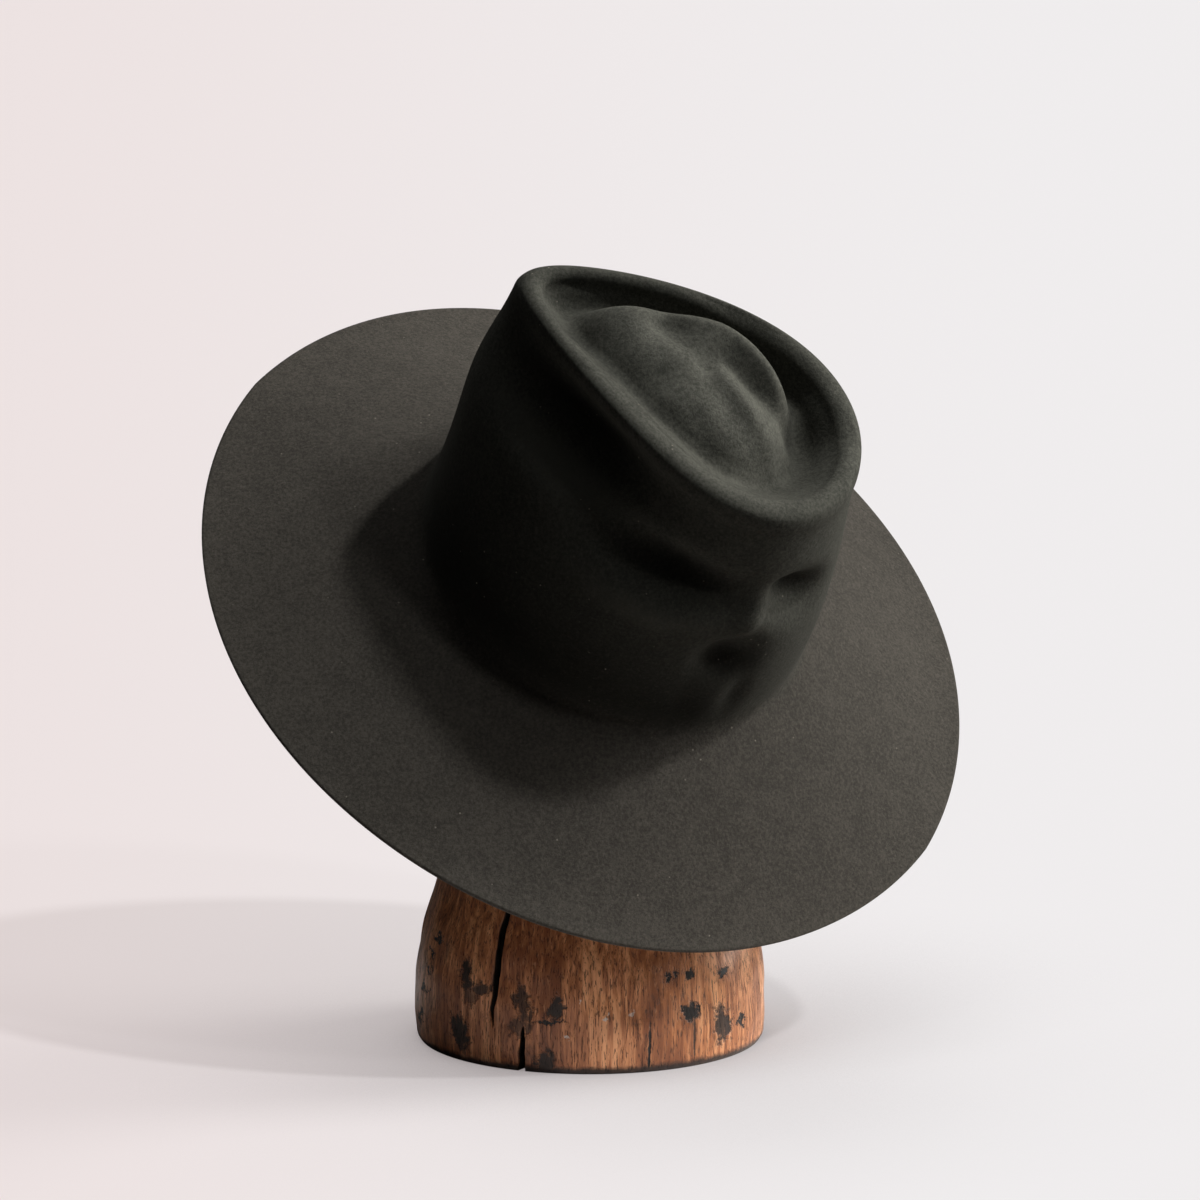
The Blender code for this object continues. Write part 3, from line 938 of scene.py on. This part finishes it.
@dataclass(frozen=True)
class WoodFinish:
    """Old waxed oak: upright grain and pores, smoky stains, scratches and pale flecks."""

    deep: Colour = (0.260, 0.085, 0.030)
    middle: Colour = (0.580, 0.228, 0.090)
    bright: Colour = (0.900, 0.445, 0.215)
    pore: Colour = (0.060, 0.019, 0.008)
    # dark stains and holes, dirt at the foot with a painted contact shadow, and painted shade in the
    # cracks
    soot_and_shade: Colour = (0.007, 0.005, 0.004)
    fleck: Colour = (0.75, 0.68, 0.62)
    smoke: Colour = (0.045, 0.020, 0.012)
    relief: float = 0.0006
    # how far a mark's outline strays, and a hairline's, a fleck's and the dark foot's
    ragged: float = 0.013
    ragged_line: float = 0.0015
    ragged_fleck: float = 0.008
    ragged_foot: float = 0.004
    line_width: float = 0.001
    # heights between which the dark foot, dirt with a painted contact shadow, passes into the wood
    foot_edge: tuple[float, float] = (0.0050, 0.0018)
    marks: tuple[Mark, ...] = (
        Mark(-0.0600, 0.0440, 0.0030, 0.0085, 0.0, 0.95),
        Mark(-0.0530, 0.0385, 0.0068, 0.0036, 10.0, 0.9),
        Mark(-0.0580, 0.0330, 0.0040, 0.0050, 0.0, 0.7),
        Mark(-0.0634, 0.0150, 0.0048, 0.0098, 12.0, 0.95),
        Mark(-0.0325, 0.0340, 0.0042, 0.0100, 18.0, 0.85),
        Mark(-0.0335, 0.0225, 0.0062, 0.0062, 0.0, 0.75),
        Mark(-0.0209, 0.0040, 0.0052, 0.0075, 0.0, 0.95),
        Mark(0.0487, 0.0279, 0.0042, 0.0050, 0.0, 1.0),
        Mark(0.0371, 0.0468, 0.0016, 0.0032),
        Mark(0.0410, 0.0465, 0.0014, 0.0030),
        Mark(0.0482, 0.0469, 0.0026, 0.0028),
        Mark(0.0649, 0.0440, 0.0024, 0.0026),
        Mark(0.0744, 0.0172, 0.0014, 0.0032),
        Mark(0.0649, 0.0186, 0.0046, 0.0105, 8.0, 0.95),
        Mark(-0.0165, 0.0330, 0.0036, 0.0068, -15.0, 0.95),
        Mark(-0.0185, 0.0255, 0.0090, 0.0012, 6.0, 1.0),
        Mark(-0.0744, 0.0569, 0.0015, 0.0030),
        Mark(-0.0770, 0.0490, 0.0015, 0.0036),
        Mark(-0.0790, 0.0400, 0.0013, 0.0030),
        Mark(-0.0812, 0.0305, 0.0013, 0.0032),
        Mark(-0.0833, 0.0150, 0.0015, 0.0060),
        Mark(0.0290, 0.0110, 0.0007, 0.0150, -2.0, 1.0),
        Mark(0.0511, 0.0150, 0.0005, 0.0140, 0.0, 0.9),
    )
    flecks: tuple[Mark, ...] = (
        Mark(-0.0043, 0.0358, 0.0008, 0.0010),
        Mark(0.0085, 0.0271, 0.0016, 0.0009),
        Mark(0.0095, 0.0300, 0.0006, 0.0016),
        Mark(0.0205, 0.0300, 0.0012, 0.0014, 0.0, 0.7),
        Mark(-0.0109, 0.0184, 0.0008, 0.0008),
    )

    def spot(self, shader: Shader, x: Wire, z: Wire, warp: Wire, mark: Mark) -> Wire:
        """Mask of one mark: 1 inside its oval, fading over its ragged edge.

        The squares of the way along and over the oval are summed with the noise and stepped.

        Args:
            shader: The shader.
            x: Across the front.
            z: Height.
            warp: Noise about 0.5 that makes the edge ragged.
            mark: The mark.

        Returns:
            The mask, up to the mark's strength.
        """
        lean = math.radians(mark.slant)
        side, lift = x - mark.x, z - mark.z
        along = (side * math.cos(lean) + lift * math.sin(lean)) / mark.half_x
        over = (lift * math.cos(lean) - side * math.sin(lean)) / mark.half_z
        apart = along * along + over * over + (warp - 0.5) * 2.6
        return shader.fade(apart, 1.25, 0.35) * mark.strength

    def material(self) -> bpy.types.Material:
        """The wood's material.

        Noises stretched upwards, one broad and one fine, are summed into the grain, which is
        stepped twice from the deep to the bright tone. Finer noises are pores and pale rays, and a
        wide one is smoke. Marks and flecks are laid over the front half alone, at places that
        noise bends, and the foot is dark below a ragged height: dirt with a painted contact shadow.
        The cracks' share paints shade in them.

        Returns:
            The material.
        """
        wood = bpy.data.materials.new("waxed_oak")
        shader = Shader(wood)
        x, y, z = shader.axes()
        front = shader.fade(y, 0.0, -0.012)
        broad = shader.noise(shader.place((26, 26, 5)), 1.0, 3.0, 0.6, 0.6)
        grain = shader.noise(shader.place((300, 300, 16)), 1.0, 5.0, 0.65, 0.4)
        pores = shader.noise(shader.place((1250, 1250, 150), (4, 2, 1)), 1.0, 3.0, 0.7, 0.3)
        ray = shader.noise(shader.place((520, 520, 110), (1, 8, 3)), 1.0, 3.0, 0.6)
        smoke = shader.noise(shader.place((55, 55, 30), (7, 3, 5)), 1.0, 4.0, 0.7, 0.5)
        warp = shader.noise(shader.place((330, 330, 190), (2, 9, 4)), 1.0, 4.0, 0.7)
        bend = shader.noise(shader.place((190, 190, 190), (8, 1, 6)), 1.0, 4.0, 0.7) - 0.5
        lift = shader.noise(shader.place((170, 170, 170), (3, 5, 9)), 1.0, 4.0, 0.7) - 0.5
        tone = broad * 0.45 + grain * 0.55
        pore = shader.fade(pores, 0.54, 0.64)
        colour = shader.blend(shader.fade(tone, 0.38, 0.56), self.deep, self.middle)
        colour = shader.blend(shader.fade(tone, 0.48, 0.62), colour, self.bright)
        colour = shader.blend(pore * 0.80, colour, self.pore)
        colour = shader.blend(shader.fade(ray, 0.60, 0.72) * 0.35, colour, self.bright)
        colour = shader.blend(shader.fade(smoke, 0.60, 0.74) * 0.55, colour, self.smoke)
        soot_and_shade: Wire | float = 0.0
        for mark in self.marks:
            stray = self.ragged_line if mark.half_x < self.line_width else self.ragged
            spot = self.spot(shader, x + bend * stray, z + lift * stray, warp, mark)
            soot_and_shade = shader.math("MAXIMUM", soot_and_shade, spot)
        pale: Wire | float = 0.0
        for mark in self.flecks:
            stray = self.ragged_fleck
            spot = self.spot(shader, x + bend * stray, z + lift * stray, warp, mark)
            pale = shader.math("MAXIMUM", pale, spot)
        # the dark foot: dirt with a painted contact shadow
        foot = shader.fade(z + lift * self.ragged_foot, *self.foot_edge)
        soot_and_shade = shader.math("MAXIMUM", soot_and_shade * front, foot * 0.95)
        colour = shader.blend(soot_and_shade, colour, self.soot_and_shade)
        colour = shader.blend(pale * front * 0.8, colour, self.fleck)
        # painted shade in the cracks
        colour = shader.blend(shader.fade(shader.share("crack"), 0.05, 0.35), colour, self.soot_and_shade)
        normal = shader.bump(tone - pore * 0.5, self.relief)
        normal = shader.bump(1 - soot_and_shade, self.relief, normal)
        shader.dress({
            "Base Color": colour, "Roughness": 0.36 + 0.30 * pore + 0.20 * soot_and_shade,
            "Normal": normal, "Specular IOR Level": 0.45, "Coat Weight": 0.25,
            "Coat Roughness": 0.35,
        })
        return wood


@dataclass(frozen=True)
class Crack:
    """A drying crack up the front, from one share of the half length to another."""

    side_foot: float
    side_head: float
    foot: float
    head: float
    width: float
    depth: float


@dataclass(frozen=True)
class HatBlock:
    """The block: a flared foot under a tall post with a round top."""

    length: float = 0.1745
    depth: float = 0.150
    height: float = 0.3496
    post_length: float = 0.122
    post_depth: float = 0.110
    plain_columns: int = 300
    # how much closer the columns are at a crack, and over how many degrees on either side
    crack_packing: float = 5.0
    crack_spread: float = 4.5
    crack_waver: float = 0.00025
    crack_shaded: float = 0.004
    wear: float = 0.00025
    unworn_foot: float = 0.01
    least_reach: float = 0.02
    # share of the height, share of the flare, share of the post's size
    rows: tuple[tuple[float, float, float], ...] = (
        (0.000, 0.930, 1.00), (0.006, 0.980, 1.00), (0.018, 1.000, 1.00), (0.073, 1.000, 1.00),
        (0.117, 0.950, 1.00), (0.165, 0.830, 1.00), (0.223, 0.600, 1.00), (0.282, 0.370, 1.00),
        (0.370, 0.170, 1.00), (0.480, 0.050, 1.00), (0.640, 0.000, 1.00), (0.780, 0.000, 0.97),
        (0.870, 0.000, 0.88), (0.930, 0.000, 0.74), (0.970, 0.000, 0.54), (0.992, 0.000, 0.28),
        (1.000, 0.000, 0.00),
    )
    steps: tuple[int, ...] = (3, 4, 24, 20, 20, 20, 16, 14, 12, 10, 10, 8, 6, 5, 4, 4)
    cracks: tuple[Crack, ...] = (
        Crack(-0.548, -0.518, 0.020, 0.092, 0.0036, 0.011),
        Crack(-0.388, -0.372, -0.016, 0.023, 0.0034, 0.009),
    )

    def angles(self) -> Array:
        """Column angles in radians, packed closer about the cracks.

        The angle is where the running sum of a density reaches equal shares; the density is 1 with
        a flat-topped bump, of the fourth power, on each crack's mean angle.

        Returns:
            The angles.
        """
        fine = np.linspace(-math.pi, math.pi, 20001)
        density = np.ones_like(fine)
        for crack in self.cracks:
            middle = -math.acos((crack.side_foot + crack.side_head) / 2)
            away = (fine - middle) / math.radians(self.crack_spread)
            density += self.crack_packing * np.exp(-(away**4))
        total = np.concatenate([[0.0], np.cumsum((density[1:] + density[:-1]) / 2)])
        count = int(self.plain_columns * total[-1] / (len(fine) - 1))
        return np.interp(np.arange(count) / count * total[-1], total, fine)

    def hollow(self, angle: Array, rings: Array) -> Array:
        """Depth of the cracks over the grid.

        Each crack's middle runs straight between its ends with a little waver. Its half width and
        its depth swell from the ends as the root of 1 less the square of the way from its middle.

        Args:
            angle: The columns' angles in radians.
            rings: The grid's points.

        Returns:
            The depth in metres at each point.
        """
        sunk = np.zeros(rings.shape[:2])
        x, _, z = np.moveaxis(rings, -1, 0)
        half = np.abs(x).max(axis=1, keepdims=True)
        for number, crack in enumerate(self.cracks):
            part = (z - crack.foot) / (crack.head - crack.foot)
            swell = np.sqrt(np.clip(1 - (2 * part - 1) ** 2, 0.0, 1.0))
            share = crack.side_foot + (crack.side_head - crack.side_foot) * part
            waver = waves(z, z * 0, 5, 20.0, 160.0, SEED + number) * self.crack_waver
            across = (np.cos(angle)[None, :] - share) * half - waver
            wide = crack.width / 2 * swell + 1e-6
            inside = np.clip(1 - np.abs(across) / wide, 0.0, 1.0) * (angle < 0)
            sunk = np.maximum(sunk, crack.depth * swell * inside**0.8)
        return sunk

    def build(self) -> bpy.types.Object:
        """Builds the block: scaled ovals up a smooth profile, with the cracks and wear sunk in.

        Returns:
            The piece.
        """
        angle = self.angles()
        rings = []
        for rise, flare, close in self.rows:
            length = self.post_length * close + (self.length - self.post_length) * flare
            depth = self.post_depth * close + (self.depth - self.post_depth) * flare
            ring = [length / 2 * np.cos(angle), depth / 2 * np.sin(angle)]
            rings.append(np.stack([*ring, np.full_like(angle, rise * self.height)], axis=-1))
        grid = smooth_through(np.array(rings), self.steps)
        grid[..., 2] = np.clip(grid[..., 2], 0.0, self.height)
        sunk = self.hollow(angle, grid)
        flat = grid[..., :2]
        reach = np.linalg.norm(flat, axis=-1, keepdims=True)
        worn = waves(angle * 0.08, grid[..., 2], 14, 8.0, 60.0, SEED + 9) * self.wear
        worn = worn * np.clip(grid[..., 2] / self.unworn_foot, 0.0, 1.0)
        flat *= 1 - (sunk + worn)[..., None] / np.maximum(reach, self.least_reach)
        mesh = closed_mesh("oak_block", grid[:-1], np.zeros(3), np.array([0.0, 0.0, self.height]))
        # the cracks' depth share, for their painted shade
        spread(mesh, "crack", np.append(sunk[:-1].ravel() / self.crack_shaded, [0.0, 0.0]))
        return add_piece(mesh, WoodFinish().material(), "hat_block")


# Studio


@dataclass(frozen=True)
class Lamp:
    """A far soft light that falls evenly, by its direction, strength and angular size."""

    name: str
    towards: tuple[float, float, float]
    strength: float
    angle: float
    colour: Colour = (1.0, 1.0, 1.0)

    def build(self) -> None:
        """Adds the light, shining from its direction."""
        light = bpy.data.lights.new(self.name, "SUN")
        light.energy, light.color = self.strength, self.colour
        light.angle = math.radians(self.angle)
        lamp = bpy.data.objects.new(self.name, light)
        lamp.location = Vector(self.towards) * 2
        lamp.rotation_mode = "QUATERNION"
        lamp.rotation_quaternion = Vector(self.towards).to_track_quat("Z", "Y")
        bpy.context.scene.collection.objects.link(lamp)


@dataclass(frozen=True)
class Studio:
    """A pale seamless floor, soft light from the right and behind, and the camera."""

    pitch: float = 10.0
    distance: float = 2.0
    focal: float = 121.8
    aim: tuple[float, float, float] = (0.0050, 0.0, 0.2202)
    floor: Colour = (0.60, 0.58, 0.585)
    glow_left: Colour = (1.03, 0.905, 0.895)
    glow_right: Colour = (1.07, 1.05, 1.06)
    # where the glow turns, as x over the way from the camera, and its share of what is seen
    glow_edge: tuple[float, float] = (-0.18, 0.12)
    glow_share: float = 0.58
    shade: Colour = (0.24, 0.20, 0.20)
    shade_reach: float = 0.24
    shade_share: float = 0.70
    # what the floor throws back near the block and far from it, and where the one ends
    bounce_near: Colour = (0.95, 0.87, 0.84)
    bounce_far: Colour = (0.05, 0.05, 0.05)
    bounce_edge: tuple[float, float] = (0.32, 0.18)
    room: Colour = (1.0, 0.98, 0.96)
    room_strength: float = 0.004
    wall: Colour = (0.86, 0.82, 0.82)
    lamps: tuple[Lamp, ...] = (
        Lamp("high", (0.53, -0.22, 0.82), 1.45, 3.5),
        Lamp("high_front", (0.63, -0.44, 0.64), 0.40, 5.0),
        Lamp("low", (0.82, 0.25, 0.45), 1.95, 22.0, (1.0, 0.985, 0.95)),
        Lamp("side", (0.93, 0.24, 0.16), 1.05, 12.0, (1.0, 0.98, 0.94)),
        Lamp("fill", (0.16, -0.26, 0.95), 0.12, 30.0),
        Lamp("above", (-0.10, 0.35, 0.93), 0.45, 25.0),
    )

    def camera(self) -> None:
        """Sets the camera on a long lens, looking a little down at the hat."""
        lens = bpy.data.cameras.new("camera")
        lens.sensor_width, lens.lens = 36.0, self.focal
        lens.clip_start, lens.clip_end = 0.05, 50.0
        camera = bpy.data.objects.new("camera", lens)
        back = Vector((0, -math.cos(math.radians(self.pitch)), math.sin(math.radians(self.pitch))))
        camera.location = Vector(self.aim) + back * self.distance
        camera.rotation_mode = "QUATERNION"
        camera.rotation_quaternion = (-back).to_track_quat("-Z", "Y")
        bpy.context.scene.collection.objects.link(camera)
        bpy.context.scene.camera = camera

    def paint(self) -> bpy.types.Material:
        """The floor's paint, which the camera sees bright and everything else sees dim.

        What is seen is a mix of a glow, from the left tone to the right, and a matt paint that
        takes the shadows. The glow is shaded where little sky is open close to the block. What the
        other rays meet is pale near the block and dark further off, so that the floor throws
        little light up under the hat.

        Returns:
            The material.
        """
        paint = bpy.data.materials.new("floor_paint")
        shader = Shader(paint)
        x, y, _ = shader.axes()
        across = x / shader.math("MAXIMUM", y + self.distance, 0.5)
        tone = shader.blend(
            shader.fade(across, *self.glow_edge), self.glow_left, self.glow_right
        )
        sky = shader.node(
            "ShaderNodeAmbientOcclusion", {"samples": 4}, {"Distance": self.shade_reach}, out="AO"
        )
        tone = shader.blend(shader.fade(sky, 1.0, 0.15) * self.shade_share, tone, self.shade)
        matt = shader.node("ShaderNodeBsdfDiffuse", values={"Color": self.floor})
        glow = shader.node("ShaderNodeEmission", values={"Color": tone, "Strength": 1.0})
        both = shader.node("ShaderNodeMixShader", values={0: self.glow_share, 1: matt, 2: glow})
        away = shader.node(
            "ShaderNodeVectorMath", {"operation": "LENGTH"}, {0: shader.place()}, out="Value"
        )
        tint = shader.blend(
            shader.fade(away, *self.bounce_edge), self.bounce_far, self.bounce_near
        )
        dim = shader.node("ShaderNodeBsdfDiffuse", values={"Color": tint})
        seen = shader.node("ShaderNodeLightPath", out="Is Camera Ray")
        ends = shader.node("ShaderNodeMixShader", values={0: seen, 1: dim, 2: both})
        shader.end(ends, "Material Output")
        return paint

    def ground(self) -> None:
        """Adds the floor, a very wide flat disc."""
        reach = np.geomspace(0.02, 60.0, 40)[:, None]
        turn = np.linspace(0, math.tau, 96, endpoint=False)
        flat = reach * np.cos(turn), reach * np.sin(turn), reach * 0 + turn * 0
        rings = np.stack(flat, axis=-1)
        mesh = closed_mesh("floor", rings[::-1], None, np.zeros(3))
        mesh.materials.append(self.paint())
        floor = bpy.data.objects.new("floor", mesh)
        bpy.context.scene.collection.objects.link(floor)

    def world(self) -> None:
        """Lights the room faintly and evenly, and shows it pale behind the floor."""
        world = bpy.data.worlds.new("room")
        shader = Shader(world)
        lit = {"Color": self.room, "Strength": self.room_strength}
        dim = shader.node("ShaderNodeBackground", values=lit)
        pale = shader.node("ShaderNodeBackground", values={"Color": self.wall, "Strength": 1.0})
        seen = shader.node("ShaderNodeLightPath", out="Is Camera Ray")
        ends = shader.node("ShaderNodeMixShader", values={0: seen, 1: dim, 2: pale})
        shader.end(ends, "World Output")
        bpy.context.scene.world = world

    def build(self) -> None:
        """Builds the camera, the floor, the room and the lamps."""
        self.camera()
        self.ground()
        self.world()
        for lamp in self.lamps:
            lamp.build()
        bpy.context.scene.view_settings.view_transform = "Standard"


def main() -> None:
    """Builds the block, the hat and the studio in order."""
    logging.basicConfig(level=logging.INFO, format="%(message)s")
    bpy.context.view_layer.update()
    HatBlock().build()
    FeltHat().build()
    Studio().build()


if __name__ == "__main__":
    main()
